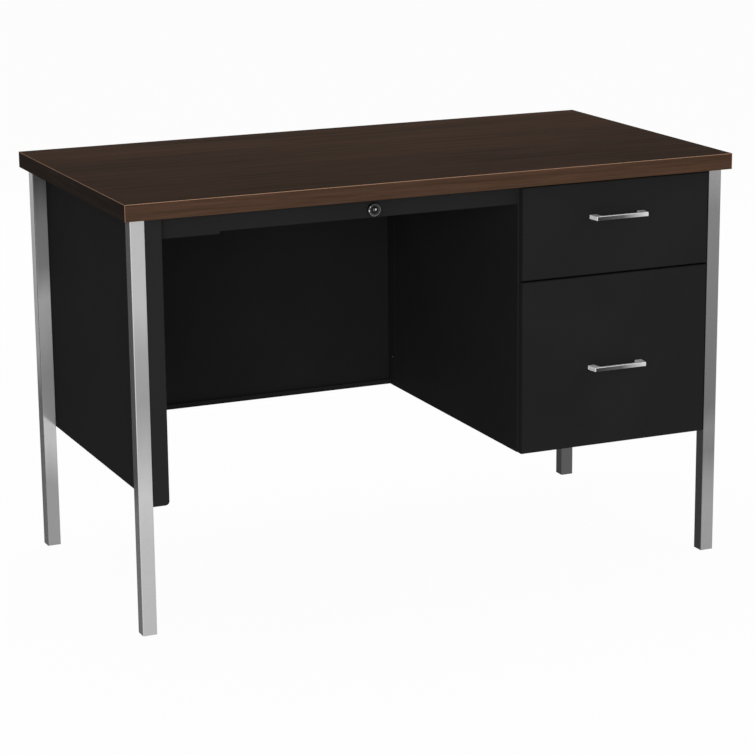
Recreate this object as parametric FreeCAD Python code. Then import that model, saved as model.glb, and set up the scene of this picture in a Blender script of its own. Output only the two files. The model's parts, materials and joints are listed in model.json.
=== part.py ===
import FreeCAD, Part
import math
import os

# Single-pedestal teacher desk. Millimetres, +X to the sitter's right, +Y to the back, +Z up.
# The origin is on the floor under the middle of the worktop.

V = FreeCAD.Vector

# ---------------------------------------------------------------- driving dimensions
# Worktop: laminate on a particle-board core with self edges
desk_height = 749.3
top_width = 1149.35
top_depth = 609.6
top_thickness = 28.6
laminate_thickness = 0.8
backer_thickness = 0.6
band_thickness = 1.2

# Legs: square tubes that stand outside the end panel and the pedestal
leg_size = 25.4
leg_wall = 1.6
leg_corner_radius = 1.6
leg_side_inset = 12.7
leg_end_inset = 15.0
leg_screw_margin = 0.15
insert_length = 26.0
insert_skirt = 6.5
lead_in = 1.0
glide_disc_diameter = 18.0
glide_disc_thickness = 4.0
glide_stem_diameter = 8.0
glide_stem_length = 34.0
glide_travel = 10.0
glide_thread_clearance = 0.06
glide_disc_clearance = 0.4

# Sheet steel
sheet = 1.0
heavy_sheet = 1.2
bend_radius = 1.0

# Left end panel: two skins over hat stiffeners
end_panel_thickness = 30.0
end_panel_bottom = 232.0
end_panel_leg_setback = 3.0
front_lip_drop = 6.0
front_lip_radius = 7.0
panel_flange = 14.0
skin_seam = 0.3
stiffener_width = 34.0
stiffener_foot = 14.0
stiffener_spacing = 280.0
stiffener_end_gap = 24.0

# Kneespace rail and its gusset
rail_height = 35.7
rail_top_depth = 35.0
rail_bottom_depth = 13.0
rail_lip = 3.0
gusset_length = 107.0
gusset_height = 40.0
gusset_depth = 23.0

# Modesty panel at the back of the kneespace
modesty_bottom = 233.0
modesty_rear_setback = 1.8
modesty_hem_depth = 8.0
modesty_hem_height = 10.0
modesty_side_flange = 32.0
modesty_top_flange = 22.0

# Pedestal case
pedestal_width = 377.6
pedestal_bottom = 233.0
post_depth = 31.0
post_width = 13.2
post_seam = 0.8
post_bend_radius = 0.5
post_tab_drop = 7.0
case_top_flange = 15.0
case_back_flange = 12.0
upright_width = 30.0
upright_foot = 12.0
upright_end_gap = 22.0
cross_rail_depth = 30.0
top_rail_height = 15.0
mid_rail_height = 20.0
bottom_front_flange = 11.0
bottom_side_flange = 12.0

# Drawers
front_thickness = 14.0
front_edge_radius = 2.6
front_side_gap = 1.0
front_top_gap = 4.2
file_bay_share = 0.6459
front_split_gap = 3.0
case_gap = 2.8
liner_rim = 5.0
tray_sheet = 0.9
tray_rear_gap = 53.8
tray_front_flange = 12.0
tray_hem = 8.0
tray_hem_drop = 5.0
box_tray_bottom_gap = 12.5
box_tray_top_gap = 32.5
file_tray_bottom_gap = 15.0
file_tray_top_gap = 28.5
hanging_rail_gap = 0.5
hanging_rail_thickness = 2.5
hanging_rail_height = 16.0
hanging_rail_tab = 8.0
hanging_rail_drop = 2.0
bumper_diameter = 9.0
bumper_drop = 24.0

# Telescopic slides
slide_thickness = 12.7
slide_height = 45.5
slide_sheet = 1.2
slide_running_gap = 0.3
slide_back_gap = 1.0
slide_bend_radius = 1.2
slide_lip_recess = 3.2
slide_front_gap = 5.0
slide_rear_gap = 56.0
box_slide_shortfall = 50.0
box_slide_rise = 40.0
file_slide_rise = 60.0

# Pulls
pull_centres = 96.0
pull_foot_width = 14.0
pull_projection = 23.2
pull_bar_thickness = 6.0
pull_height = 7.6
pull_outer_taper = 3.0
pull_inner_taper = 1.6
pull_corner_radius = 2.0
pull_edge_chamfer = 0.7
box_pull_drop = 62.5
file_pull_drop = 167.5

# Lock
lock_x = -118.0
lock_drop = 21.7
bezel_diameter = 24.0
bezel_projection = 5.0
bezel_rim = 2.4
dust_ring_width = 2.6
housing_diameter = 19.0
housing_length = 21.0
plug_diameter = 14.0
plug_clearance = 0.05
plug_recess = 0.8
keyway_width = 1.8
keyway_height = 8.5
keyway_depth = 12.0
nut_across_flats = 22.0
nut_thickness = 4.0
cam_thickness = 2.0
cam_gap = 0.5
crank_radius = 6.0
crank_pin_diameter = 4.0
crank_swing = 90.0
pin_clearance = 0.35
link_thickness = 2.0
link_height = 12.0
link_end_height = 20.0
link_gap = 0.6
link_guide_thickness = 2.0
link_guide_margin = 4.0
link_guide_inset = 40.0
guide_clearance = 0.3
catch_thickness = 2.0
catch_width = 9.6
catch_lift = 6.0
catch_gap = 0.4
catch_tail = 60.0
lift_pin_diameter = 4.0
hook_thickness = 2.0
hook_arm = 6.0
hook_tooth = 5.0
hook_slot_clearance = 1.4
box_hook_drop = 90.0
file_hook_drop = 80.0
guide_rivet_diameter = 5.0
guide_rivet_head = 8.6
guide_rivet_head_thickness = 1.4

# Fasteners
wood_screw_diameter = 4.2
wood_screw_length = 18.0
wood_screw_head = 8.4
wood_screw_head_height = 2.4
frame_screw_diameter = 3.5
frame_screw_length = 8.0
frame_screw_head = 6.4
frame_screw_head_height = 2.0
pull_screw_diameter = 4.0
pull_screw_bite = 8.0
pull_screw_head = 8.0
pull_screw_head_height = 2.4
screw_clearance = 0.05
access_hole = 12.0

# ---------------------------------------------------------------- derived levels and planes
top_underside = desk_height - top_thickness
leg_outer_x = top_width / 2 - leg_side_inset
leg_inner_x = leg_outer_x - leg_size
leg_end_y = top_depth / 2 - leg_end_inset
leg_inner_y = leg_end_y - leg_size
front_plane = -leg_end_y

panel_outer_x = -leg_inner_x
panel_inner_x = panel_outer_x + end_panel_thickness
panel_front_y = -leg_end_y + end_panel_leg_setback
panel_rear_y = leg_end_y - end_panel_leg_setback

case_front_y = front_plane + front_thickness + case_gap
case_rear_y = leg_end_y - modesty_rear_setback
case_left_x = leg_inner_x - pedestal_width
case_right_x = leg_inner_x
post_rear_y = case_front_y + post_depth
front_back_y = front_plane + front_thickness
slide_left_x = case_left_x + post_width
slide_right_x = case_right_x - post_width
tray_left_x = slide_left_x + slide_thickness
tray_right_x = slide_right_x - slide_thickness
pedestal_centre_x = (case_left_x + case_right_x) / 2

rail_front_y = case_front_y
rail_bottom_z = top_underside - rail_height

front_left_x = case_left_x + front_side_gap
front_right_x = case_right_x - front_side_gap
front_split_z = pedestal_bottom + (top_underside - pedestal_bottom) * file_bay_share
box_front_top = top_underside - front_top_gap
box_front_bottom = front_split_z + front_split_gap / 2
file_front_top = front_split_z - front_split_gap / 2
file_front_bottom = pedestal_bottom
box_tray_bottom = box_front_bottom + box_tray_bottom_gap
file_tray_bottom = file_front_bottom + file_tray_bottom_gap
box_tray_height = box_front_top - box_tray_top_gap - box_tray_bottom
file_tray_height = file_front_top - file_tray_top_gap - file_tray_bottom
tray_length = case_rear_y - tray_rear_gap - front_back_y

slide_front_y = case_front_y + slide_front_gap
file_slide_length = case_rear_y - slide_rear_gap - slide_front_y
box_slide_length = file_slide_length - box_slide_shortfall
upright_centre_y = slide_front_y + box_slide_length - upright_end_gap
box_slide_z = box_tray_bottom + box_slide_rise
file_slide_z = file_tray_bottom + file_slide_rise
leg_screw_y = leg_inner_y + leg_wall + frame_screw_diameter / 2 + leg_screw_margin

# Lock train: the crank swings evenly to both sides of upright, so the link bar's travel
# stays in near-constant proportion to the turn of the plug.
lock_z = top_underside - lock_drop
half_swing = math.radians(crank_swing / 2)
link_travel = 2 * crank_radius * math.sin(half_swing)
housing_rear_y = rail_front_y + heavy_sheet + housing_length
cam_front_y = housing_rear_y + cam_gap
cam_rear_y = cam_front_y + cam_thickness
link_front_y = cam_rear_y + link_gap
link_rear_y = link_front_y + link_thickness
crank_rest_x = lock_x - crank_radius * math.sin(half_swing)
crank_rest_z = lock_z + crank_radius * math.cos(half_swing)
catch_front_y = case_front_y + heavy_sheet + catch_gap
catch_rear_y = catch_front_y + catch_thickness
catch_centre_x = case_left_x + post_width / 2
lift_pin_z = lock_z - catch_lift / 2
hook_tooth_y = catch_rear_y + 1.0
box_hook_z = box_front_top - box_hook_drop
file_hook_z = file_front_top - file_hook_drop
hook_drops = (box_hook_z, file_hook_z)


# ---------------------------------------------------------------- shape helpers
def box(x0, x1, y0, y1, z0, z1):
    return Part.makeBox(x1 - x0, y1 - y0, z1 - z0, V(x0, y0, z0))


def rod(start, axis, diameter, length):
    return Part.makeCylinder(diameter / 2, length, start, axis)


def in_plane(plane, u, v, w=0.0):
    """A point of the plane xy, xz or yz, w away from it."""
    if plane == "xy":
        return V(u, v, w)
    if plane == "xz":
        return V(u, w, v)
    return V(w, u, v)


def outline(points, radii, flat_bends=False):
    """Closed wire through the points, with an arc or a flat at each corner that has a radius."""
    edges = []
    starts = []
    ends = []
    middles = []
    count = len(points)
    for index, (corner, radius) in enumerate(zip(points, radii)):
        if radius <= 0:
            starts.append(corner)
            ends.append(corner)
            middles.append(None)
            continue
        to_last = (points[index - 1] - corner).normalize()
        to_next = (points[(index + 1) % count] - corner).normalize()
        half = to_last.getAngle(to_next) / 2
        reach = radius / math.tan(half)
        inward = (to_last + to_next).normalize()
        starts.append(corner + to_last * reach)
        ends.append(corner + to_next * reach)
        middles.append(corner + inward * (radius / math.sin(half) - radius))
    for index in range(count):
        if middles[index] is not None and flat_bends:
            edges.append(Part.makeLine(starts[index], ends[index]))
        elif middles[index] is not None:
            edges.append(Part.Arc(starts[index], middles[index], ends[index]).toShape())
        after = starts[(index + 1) % count]
        if (after - ends[index]).Length > 1e-6:
            edges.append(Part.makeLine(ends[index], after))
    return Part.Wire(edges)


def prism(plane, points, radii, w0, w1, flat_bends=False):
    """Solid of an outline with rounded corners, from w0 to w1 across its plane."""
    wire = outline([in_plane(plane, u, v, w0) for u, v in points], radii, flat_bends)
    return Part.Face(wire).extrude(in_plane(plane, 0, 0, w1 - w0))


def folded(plane, path, thickness, w0, w1, inside_radius=bend_radius, flat_bends=False):
    """Bent sheet. The path runs along one surface, and the metal lies to its left.

    Flat bends, with as much metal across them, keep the pieces that are out of sight light.
    """
    outside_radius = inside_radius + thickness * (2 - math.sqrt(2) if flat_bends else 1)
    steps = []
    for (u0, v0), (u1, v1) in zip(path, path[1:]):
        size = math.hypot(u1 - u0, v1 - v0)
        steps.append(((u1 - u0) / size, (v1 - v0) / size))
    near = []
    far = []
    near_radii = []
    far_radii = []
    last = len(path) - 1
    for index, (u, v) in enumerate(path):
        before = steps[max(index - 1, 0)]
        after = steps[min(index, last - 1)]
        share = 1 + before[0] * after[0] + before[1] * after[1]
        turn = before[0] * after[1] - before[1] * after[0]
        offset_u = -(before[1] + after[1]) / share * thickness
        offset_v = (before[0] + after[0]) / share * thickness
        near.append((u, v))
        far.append((u + offset_u, v + offset_v))
        if index in (0, last):
            near_radii.append(0)
            far_radii.append(0)
        else:
            near_radii.append(outside_radius if turn > 0 else inside_radius)
            far_radii.append(outside_radius if turn < 0 else inside_radius)
    points = near + far[::-1]
    radii = near_radii + far_radii[::-1]
    return prism(plane, points, radii, w0, w1, flat_bends)


def round_edges(shape, radius, chosen):
    edges = [edge for edge in shape.Edges if chosen(edge)]
    return shape.makeFillet(radius, edges) if edges else shape


def on_level(edge, axis, level):
    """True where both ends and the middle of an edge lie on one level of an axis."""
    spots = [vertex.Point[axis] for vertex in edge.Vertexes]
    spots.append(edge.CenterOfMass[axis])
    return all(abs(spot - level) < 1e-4 for spot in spots)


def six_sided(start, axis, diameter, length):
    """Six-sided bar, measured across its corners. Small screws and their holes are made so."""
    way = V(*axis)
    across = V(way.z, way.x, way.y) * (diameter / 2)
    other = way.cross(across)
    turns = [math.radians(60 * turn) for turn in range(6)]
    corners = [start + across * math.cos(turn) + other * math.sin(turn) for turn in turns]
    return Part.Face(Part.makePolygon(corners + corners[:1])).extrude(way * length)


def screw(tip, axis, diameter, length, head_diameter, head_height):
    """Hex-head screw: the tip, the way to the head, the shank's length, the head's size."""
    shank = six_sided(tip, axis, diameter, length)
    head = six_sided(tip + V(*axis) * length, axis, head_diameter, head_height)
    return shank.fuse(head).removeSplitter()


def clearance_hole(tip, axis, diameter, length):
    return six_sided(tip, axis, diameter + 2 * screw_clearance, length)


# ---------------------------------------------------------------- worktop
core_left = -top_width / 2 + band_thickness
core_front = -top_depth / 2 + band_thickness
laminate_bottom = desk_height - laminate_thickness

# Screws that hold the worktop, as places under it and the sheet each one passes
screw_tip_z = top_underside - heavy_sheet + wood_screw_length
rail_screw_y = rail_front_y + rail_top_depth * 0.45
modesty_screw_y = case_rear_y - modesty_top_flange * 0.6
panel_screw_x = panel_outer_x + sheet + panel_flange * 0.55
side_screw_x = case_top_flange * 0.6
rail_span = (panel_inner_x, case_left_x)


def along(span, share):
    return span[0] + (span[1] - span[0]) * share


rail_screws = [(along(rail_span, share), rail_screw_y, heavy_sheet) for share in (0.25, 0.62, 0.9)]
modesty_screws = [(along(rail_span, share), modesty_screw_y, sheet) for share in (0.12, 0.5, 0.88)]
panel_screws = [(panel_screw_x, side * leg_inner_y * 0.8, sheet) for side in (-1, 1)]
case_screws = [(x, y, sheet)
               for x in (case_left_x + side_screw_x, case_right_x - side_screw_x)
               for y in (-leg_inner_y * 0.5, leg_inner_y * 0.55)]
top_screw_places = rail_screws + modesty_screws + panel_screws + case_screws


def worktop_screw(x, y, passed):
    tip = V(x, y, top_underside - passed + wood_screw_length)
    return screw(tip, (0, 0, -1), wood_screw_diameter, wood_screw_length,
                 wood_screw_head, wood_screw_head_height)


def worktop_hole(x, y, passed):
    tip = V(x, y, top_underside - passed + wood_screw_length)
    return clearance_hole(tip, (0, 0, -1), wood_screw_diameter, wood_screw_length)


top_holes = [worktop_hole(*place) for place in top_screw_places]


def drilled(shape, holes):
    near = [hole for hole in holes if shape.BoundBox.intersect(hole.BoundBox)]
    return shape.cut(Part.makeCompound(near)) if near else shape


def worktop_core():
    return box(core_left, -core_left, core_front, -core_front,
               top_underside + backer_thickness, laminate_bottom)


def worktop_backer():
    return box(core_left, -core_left, core_front, -core_front,
               top_underside, top_underside + backer_thickness)


def worktop_laminate():
    return box(-top_width / 2, top_width / 2, -top_depth / 2, top_depth / 2,
               laminate_bottom, desk_height)


def long_bands():
    front = box(-top_width / 2, top_width / 2, -top_depth / 2, core_front,
                top_underside, laminate_bottom)
    rear = front.copy()
    rear.translate(V(0, top_depth - band_thickness, 0))
    return [front, rear]


def short_bands():
    left = box(-top_width / 2, core_left, core_front, -core_front,
               top_underside, laminate_bottom)
    right = left.copy()
    right.translate(V(top_width - band_thickness, 0, 0))
    return [left, right]


# ---------------------------------------------------------------- legs
leg_corners = {
    "front_left": (-1, -1),
    "front_right": (1, -1),
    "rear_left": (-1, 1),
    "rear_right": (1, 1),
}
leg_screw_heights = (pedestal_bottom + 60.0, top_underside - 70.0)


def leg_centre(side, end):
    return side * (leg_outer_x - leg_size / 2), end * (leg_end_y - leg_size / 2)


def leg_screw(side, end, height):
    """Screw from inside the panel or the case into the leg's inner wall."""
    tip = V(side * (leg_inner_x + frame_screw_length - heavy_sheet), end * leg_screw_y, height)
    return tip, (-side, 0, 0)


def leg(side, end):
    x, y = leg_centre(side, end)
    half = leg_size / 2
    bore = half - leg_wall
    outer = [(x - half, y - half), (x + half, y - half), (x + half, y + half), (x - half, y + half)]
    inner = [(x - bore, y - bore), (x + bore, y - bore), (x + bore, y + bore), (x - bore, y + bore)]
    bore_radius = max(leg_corner_radius - leg_wall, 0.0)
    tube = prism("xy", outer, [leg_corner_radius] * 4, 0, top_underside)
    tube = tube.cut(prism("xy", inner, [bore_radius] * 4, -1, top_underside + 1))
    holes = [clearance_hole(*leg_screw(side, end, height), frame_screw_diameter, frame_screw_length)
             for height in leg_screw_heights]
    return drilled(tube, holes)


def leg_insert(side, end):
    """Square end plug, with the threaded bore and the pocket that the glide draws into."""
    x, y = leg_centre(side, end)
    half = leg_size / 2 - leg_wall
    square = [(x - half, y - half), (x + half, y - half), (x + half, y + half), (x - half, y + half)]
    plug = prism("xy", square, [0] * 4, 0, insert_length)
    plug = plug.makeChamfer(lead_in, [edge for edge in plug.Edges
                                      if on_level(edge, 2, insert_length)])
    pocket = glide_disc_diameter + 2 * glide_disc_clearance
    bore = glide_stem_diameter + 2 * glide_thread_clearance
    plug = plug.cut(rod(V(x, y, -1), V(0, 0, 1), pocket, 1 + insert_skirt))
    return plug.cut(rod(V(x, y, 0), V(0, 0, 1), bore, insert_length + 1))


def glide(side, end):
    """Levelling glide, wound in until its disc is flush with the end of the leg."""
    x, y = leg_centre(side, end)
    disc = rod(V(x, y, 0), V(0, 0, 1), glide_disc_diameter, glide_disc_thickness)
    stem = rod(V(x, y, glide_disc_thickness), V(0, 0, 1), glide_stem_diameter, glide_stem_length)
    return disc.fuse(stem).removeSplitter()


# ---------------------------------------------------------------- left end panel
gusset_screws = [((panel_inner_x - frame_screw_length + heavy_sheet + heavy_sheet),
                  rail_front_y + gusset_depth * 0.5, top_underside - drop) for drop in (10.0, 28.0)]
modesty_side_y = case_rear_y - modesty_side_flange * 0.66
modesty_screw_heights = (modesty_bottom + 60.0, top_underside - 70.0)


def panel_hole(y, z):
    return clearance_hole(V(panel_inner_x - 10, y, z), (1, 0, 0), frame_screw_diameter, 20)


inner_skin_holes = [panel_hole(y, z) for x, y, z in gusset_screws]
inner_skin_holes += [panel_hole(modesty_side_y, z) for z in modesty_screw_heights]


def end_panel_outer():
    """Outer skin: front and rear flanges, top and bottom flanges, and a front lip hanging lower."""
    lip_bottom = end_panel_bottom - front_lip_drop
    path = [(panel_inner_x, panel_front_y), (panel_outer_x, panel_front_y),
            (panel_outer_x, panel_rear_y), (panel_inner_x, panel_rear_y)]
    path = path[::-1]
    skin = folded("xy", path, sheet, lip_bottom, top_underside, 1.6)
    skin = skin.cut(box(panel_outer_x - 1, panel_inner_x + 1, panel_front_y + sheet,
                        panel_rear_y + 1, lip_bottom - 1, end_panel_bottom))
    for low in (end_panel_bottom, top_underside - sheet):
        flange = box(panel_outer_x + sheet / 2, panel_outer_x + sheet + panel_flange,
                     panel_front_y + sheet / 2, panel_rear_y - sheet / 2, low, low + sheet)
        skin = skin.fuse(flange)
    skin = skin.removeSplitter()
    corner = box(panel_inner_x - front_lip_radius, panel_inner_x + 1, panel_front_y - 1,
                 panel_front_y + sheet + 1, lip_bottom - 1, lip_bottom + front_lip_radius)
    corner = corner.cut(rod(V(panel_inner_x - front_lip_radius, panel_front_y - 2,
                              lip_bottom + front_lip_radius), V(0, 1, 0),
                            2 * front_lip_radius, sheet + 4))
    skin = skin.cut(corner)
    holes = [clearance_hole(*leg_screw(-1, end, height), frame_screw_diameter, 2 * frame_screw_length)
             for end in (-1, 1) for height in leg_screw_heights]
    return drilled(skin, holes + top_holes)


def end_panel_inner():
    """Inner skin: a shallow pan set between the outer skin's flanges."""
    front = panel_front_y + sheet + skin_seam
    rear = panel_rear_y - sheet - skin_seam
    low = end_panel_bottom + skin_seam
    high = top_underside - skin_seam
    path = [(panel_inner_x - panel_flange, front), (panel_inner_x, front),
            (panel_inner_x, rear), (panel_inner_x - panel_flange, rear)]
    skin = folded("xy", path, sheet, low, high)
    for level in (low, high - sheet):
        skin = skin.fuse(box(panel_inner_x - panel_flange, panel_inner_x - sheet / 2,
                             front + sheet / 2, rear - sheet / 2, level, level + sheet))
    return drilled(skin.removeSplitter(), inner_skin_holes)


def end_panel_stiffeners():
    """Vertical hat sections, spot-welded to both skins."""
    wall = panel_outer_x + sheet
    crown = panel_inner_x - sheet
    low = end_panel_bottom + stiffener_end_gap
    high = top_underside - stiffener_end_gap
    hats = []
    for centre in (-stiffener_spacing / 2, stiffener_spacing / 2):
        half = stiffener_width / 2
        path = [(wall, centre + half + stiffener_foot), (wall, centre + half), (crown, centre + half),
                (crown, centre - half), (wall, centre - half), (wall, centre - half - stiffener_foot)]
        path[0:2] = [(wall + sheet, centre + half + stiffener_foot), (wall + sheet, centre + half)]
        path[4:6] = [(wall + sheet, centre - half), (wall + sheet, centre - half - stiffener_foot)]
        hats.append(folded("xy", path[::-1], sheet, low, high, flat_bends=True))
    return hats


# ---------------------------------------------------------------- kneespace rail and modesty panel
def rail_gusset():
    """Angle that carries the rail's left end, with a tab against the end panel."""
    front = rail_front_y - heavy_sheet
    low = top_underside - gusset_height
    path = [(front, top_underside), (front, low), (rail_front_y + gusset_depth, low)]
    angle = folded("yz", path, heavy_sheet, panel_inner_x, panel_inner_x + gusset_length, 1.6)
    tab = box(panel_inner_x, panel_inner_x + heavy_sheet, front + heavy_sheet / 2,
              rail_front_y + gusset_depth, low + heavy_sheet / 2, top_underside)
    holes = [clearance_hole(V(x - 10, y, z), (1, 0, 0), frame_screw_diameter, 30)
             for x, y, z in gusset_screws]
    return drilled(angle.fuse(tab).removeSplitter(), holes)


def kneespace_rail():
    """Channel across the front of the kneespace, bored for the lock, with a tab at the pedestal."""
    left = panel_inner_x + heavy_sheet
    path = [(rail_front_y + rail_top_depth, top_underside), (rail_front_y, top_underside),
            (rail_front_y, rail_bottom_z), (rail_front_y + rail_bottom_depth, rail_bottom_z),
            (rail_front_y + rail_bottom_depth, rail_bottom_z + rail_lip)]
    rail = folded("yz", path, heavy_sheet, left, case_left_x)
    tab = box(case_left_x - heavy_sheet, case_left_x, rail_front_y + heavy_sheet / 2,
              cam_front_y - 3.0, rail_bottom_z + heavy_sheet / 2, top_underside - heavy_sheet / 2)
    rail = rail.fuse(tab).removeSplitter()
    rail = rail.cut(rod(V(lock_x, rail_front_y - 1, lock_z), V(0, 1, 0),
                        housing_diameter + 2 * screw_clearance, heavy_sheet + 2))
    return drilled(rail, top_holes + [post_tab_hole])


post_tab_y = rail_front_y + (cam_front_y - 3.0 - rail_front_y) / 2
post_tab_z = top_underside - post_tab_drop
post_tab_hole = clearance_hole(V(case_left_x - 8, post_tab_y, post_tab_z), (1, 0, 0),
                               frame_screw_diameter, 16)


def modesty_panel():
    """Pan that closes the back of the kneespace: flanged forward on three sides, hemmed below."""
    left = panel_inner_x
    right = case_left_x
    path = [(case_rear_y - modesty_top_flange, top_underside), (case_rear_y, top_underside),
            (case_rear_y, modesty_bottom), (case_rear_y - modesty_hem_depth, modesty_bottom),
            (case_rear_y - modesty_hem_depth, modesty_bottom + modesty_hem_height)]
    path = path[::-1]
    pan = folded("yz", path, sheet, left, right, 1.6)
    for edge in (left, right - sheet):
        side = box(edge, edge + sheet, case_rear_y - modesty_side_flange, case_rear_y - sheet / 2,
                   modesty_bottom + modesty_hem_height, top_underside - modesty_top_flange)
        pan = pan.fuse(side)
    holes = [clearance_hole(V(edge, modesty_side_y, z), (1, 0, 0), frame_screw_diameter, 16)
             for edge in (left - 8, right - 8) for z in modesty_screw_heights]
    return drilled(pan.removeSplitter(), holes + top_holes)


# ---------------------------------------------------------------- pedestal case
def post_path(outer_x, way):
    """Section of a front post, way is +1 where it reaches towards +X."""
    inner_x = outer_x + way * post_width
    return [(outer_x, post_rear_y), (outer_x, case_front_y), (inner_x, case_front_y),
            (inner_x, post_rear_y), (outer_x + way * (heavy_sheet + post_seam), post_rear_y)]


link_window = (link_front_y - 1.6, link_rear_y + 1.6, lock_z - link_end_height / 2 - 2.0,
               lock_z + link_end_height / 2 + 2.0)


def hook_slot(level):
    half = hook_thickness / 2 + hook_slot_clearance
    return box(catch_centre_x - half, catch_centre_x + half, case_front_y - 1,
               case_front_y + heavy_sheet + 0.01, level - hook_tooth - hook_slot_clearance,
               level + hook_arm + hook_slot_clearance)


def post_left():
    """Boxed front post. The catch bar runs inside it, behind a slot for each drawer's hook."""
    post = folded("xy", post_path(case_left_x, 1), heavy_sheet, pedestal_bottom,
                  top_underside - sheet, post_bend_radius)
    front, rear, low, high = link_window
    window = box(case_left_x - 1, case_left_x + post_width + 1, front, rear, low, high)
    slots = [hook_slot(level) for level in hook_drops]
    return drilled(post.cut(window), slots + [post_tab_hole])


def post_right():
    path = post_path(case_right_x, -1)[::-1]
    post = folded("xy", path, heavy_sheet, pedestal_bottom, top_underside - sheet,
                  post_bend_radius)
    holes = [clearance_hole(*leg_screw(1, -1, height), frame_screw_diameter, 2 * frame_screw_length)
             for height in leg_screw_heights]
    return drilled(post, holes)


def case_side(outer_x, way):
    """Side sheet behind the post, with a top flange for the worktop screws."""
    path = [(outer_x, pedestal_bottom), (outer_x, top_underside),
            (outer_x + way * case_top_flange, top_underside)]
    path = path if way < 0 else path[::-1]
    side = folded("xz", path, sheet, post_rear_y, case_rear_y, flat_bends=True)
    holes = [clearance_hole(*leg_screw(1, 1, height), frame_screw_diameter, 2 * frame_screw_length)
             for height in leg_screw_heights]
    holes += [clearance_hole(V(case_left_x - 8, modesty_side_y, z), (1, 0, 0),
                             frame_screw_diameter, 16) for z in modesty_screw_heights]
    return drilled(side, holes + top_holes)


def pedestal_back():
    left = case_left_x + sheet
    right = case_right_x - sheet
    path = [(left, case_rear_y - case_back_flange), (left, case_rear_y),
            (right, case_rear_y), (right, case_rear_y - case_back_flange)]
    return folded("xy", path[::-1], sheet, pedestal_bottom + sheet,
                  top_underside - sheet - bend_radius, flat_bends=True)


def pedestal_bottom_pan():
    """Floor of the case, with side and front flanges turned up."""
    left = case_left_x + sheet
    right = case_right_x - sheet
    rear = case_rear_y - sheet
    high = pedestal_bottom + bottom_side_flange
    path = [(left, high), (left, pedestal_bottom), (right, pedestal_bottom), (right, high)]
    pan = folded("xz", path, sheet, post_rear_y, rear - case_back_flange, flat_bends=True)
    apron = folded("yz", [(rear, pedestal_bottom), (case_front_y, pedestal_bottom),
                          (case_front_y, pedestal_bottom + bottom_front_flange)][::-1],
                   sheet, case_left_x + post_width, case_right_x - post_width)
    return pan.fuse(apron).removeSplitter()


def rear_uprights():
    """Hat sections on the side sheets that carry the rear ends of the slides."""
    low = pedestal_bottom + bottom_side_flange + 3.0
    high = top_underside - case_top_flange
    half = upright_width / 2
    hats = []
    for wall, way in ((case_left_x + sheet, 1), (case_right_x - sheet, -1)):
        foot = wall + way * sheet
        crown = wall + way * (post_width - sheet)
        path = [(foot, upright_centre_y - half - upright_foot), (foot, upright_centre_y - half),
                (crown, upright_centre_y - half), (crown, upright_centre_y + half),
                (foot, upright_centre_y + half), (foot, upright_centre_y + half + upright_foot)]
        path = path if way > 0 else path[::-1]
        hats.append(folded("xy", path, sheet, low, high, flat_bends=True))
    return hats


def top_rail():
    front = case_front_y
    path = [(front + cross_rail_depth, top_underside), (front, top_underside),
            (front, top_underside - top_rail_height),
            (front + cross_rail_depth * 0.4, top_underside - top_rail_height)]
    return folded("yz", path, heavy_sheet, case_left_x + post_width, case_right_x - post_width,
                  flat_bends=True)


def mid_rail():
    front = case_front_y
    low = front_split_z - mid_rail_height / 2
    high = front_split_z + mid_rail_height / 2
    path = [(front + cross_rail_depth, high), (front, high), (front, low),
            (front + cross_rail_depth, low)]
    return folded("yz", path, heavy_sheet, case_left_x + post_width, case_right_x - post_width,
                  flat_bends=True)


# ---------------------------------------------------------------- slides
def slide_section(wall_x, way, member):
    """Section of one slide member, as a path and its depth from the case to the drawer."""
    half = slide_height / 2
    step = slide_sheet + slide_running_gap
    reach = slide_thickness - slide_lip_recess
    if member == "cabinet":
        back, lips = 0.0, reach
    elif member == "middle":
        half -= step
        back, lips = slide_sheet + slide_back_gap, reach
    else:
        half -= 2 * step
        back, lips = slide_thickness, 2 * slide_sheet + slide_back_gap + slide_bend_radius
    path = [(wall_x + way * lips, half), (wall_x + way * back, half),
            (wall_x + way * back, -half), (wall_x + way * lips, -half)]
    facing = 1 if lips > back else -1
    return path if facing * way > 0 else path[::-1]


def slide_pair(member, length, level):
    pair = []
    for wall_x, way in ((slide_left_x, 1), (slide_right_x, -1)):
        path = [(x, level + z) for x, z in slide_section(wall_x, way, member)]
        channel = folded("xz", path, slide_sheet, 0, length, slide_bend_radius,
                         flat_bends=True)
        channel.translate(V(0, slide_front_y, 0))
        pair.append(channel)
    return pair


# ---------------------------------------------------------------- drawers
def drawer_front(low, high, pull_z):
    """Outer shell of a drawer front, open at the back, with softly rounded edges."""
    shell = box(front_left_x, front_right_x, front_plane, front_back_y, low, high)
    shell = round_edges(shell, front_edge_radius, lambda edge: on_level(edge, 1, front_plane))
    hollow = box(front_left_x + sheet, front_right_x - sheet, front_plane + sheet,
                 front_back_y + 1, low + sheet, high - sheet)
    hollow = round_edges(hollow, front_edge_radius - sheet,
                         lambda edge: on_level(edge, 1, front_plane + sheet))
    return drilled(shell.cut(hollow), pull_holes(pull_z))


def drawer_liner(low, high, pull_z):
    """Inner pan that closes the front, with access holes to the pull screws."""
    left = front_left_x + sheet + skin_seam
    right = front_right_x - sheet - skin_seam
    bottom = low + sheet + skin_seam
    top = high - sheet - skin_seam
    outer = box(left, right, front_back_y - liner_rim, front_back_y, bottom, top)
    inner = box(left + sheet, right - sheet, front_back_y - liner_rim - 1, front_back_y - sheet,
                bottom + sheet, top - sheet)
    pan = outer.cut(inner)
    reach = [rod(V(x, front_back_y - liner_rim, pull_z), V(0, 1, 0), access_hole, 2 * liner_rim)
             for x in pull_feet()]
    return drilled(pan, reach)


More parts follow.
